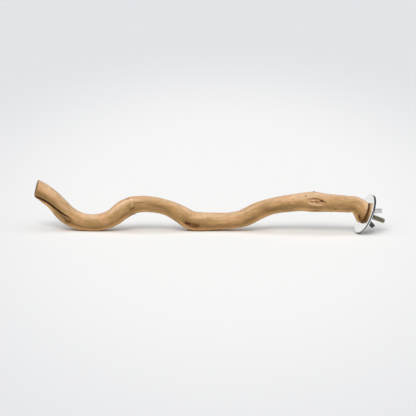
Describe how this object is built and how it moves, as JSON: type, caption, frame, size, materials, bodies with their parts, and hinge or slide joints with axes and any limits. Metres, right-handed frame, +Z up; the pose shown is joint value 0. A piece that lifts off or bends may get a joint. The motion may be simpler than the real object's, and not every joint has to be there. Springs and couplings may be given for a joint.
{
  "type": "bird perch",
  "caption": "Wavy natural-wood bird perch without its bark, with a hanger bolt in one end that clamps cage wires between wide washers under a wing nut.",
  "frame": {"origin": "middle of the perch's own box, at the height of the surface it lies on", "axes": "+X along the wood to the clamp end, +Y away from the viewer, +Z up"},
  "size_m": [0.4288, 0.0549, 0.0635],
  "materials": {
    "bare_wood": "debarked and smoothed, unvarnished, with knots and a drying crack",
    "bolt_steel": "zinc plated, dulled in the thread",
    "plated_washer": "bright zinc plate, mirror-like with fine marks",
    "plated_nut": "bright zinc plate over a pressed wing nut"
  },
  "bodies": {
    "perch": {"branch": "bare_wood", "hanger_bolt": "bolt_steel"},
    "inner_washer": {"inner_washer": "plated_washer"},
    "outer_washer": {"outer_washer": "plated_washer"},
    "wing_nut": {"wing_nut": "plated_nut"}
  },
  "joints": [
    {"name": "inner_washer_spin", "type": "hinge", "parent": "perch", "child": "inner_washer", "pos_m": [0.18925, -0.00289, 0.02418], "axis": [0.8984, 0.2157, -0.3827], "continuous": true},
    {"name": "outer_washer_slide", "type": "slide", "parent": "perch", "child": "outer_washer", "axis": [0.8984, 0.2157, -0.3827], "range_m": [-0.0005, 0.022]},
    {"name": "wing_nut_spin", "type": "hinge", "parent": "outer_washer", "child": "wing_nut", "pos_m": [0.19486, -0.00154, 0.02178], "axis": [0.8984, 0.2157, -0.3827], "range_deg": [-180, 7920]}
  ],
  "couplings": [
    {"joint": "outer_washer_slide", "follows": "wing_nut_spin", "m_per_rad": 0.00015915}
  ]
}
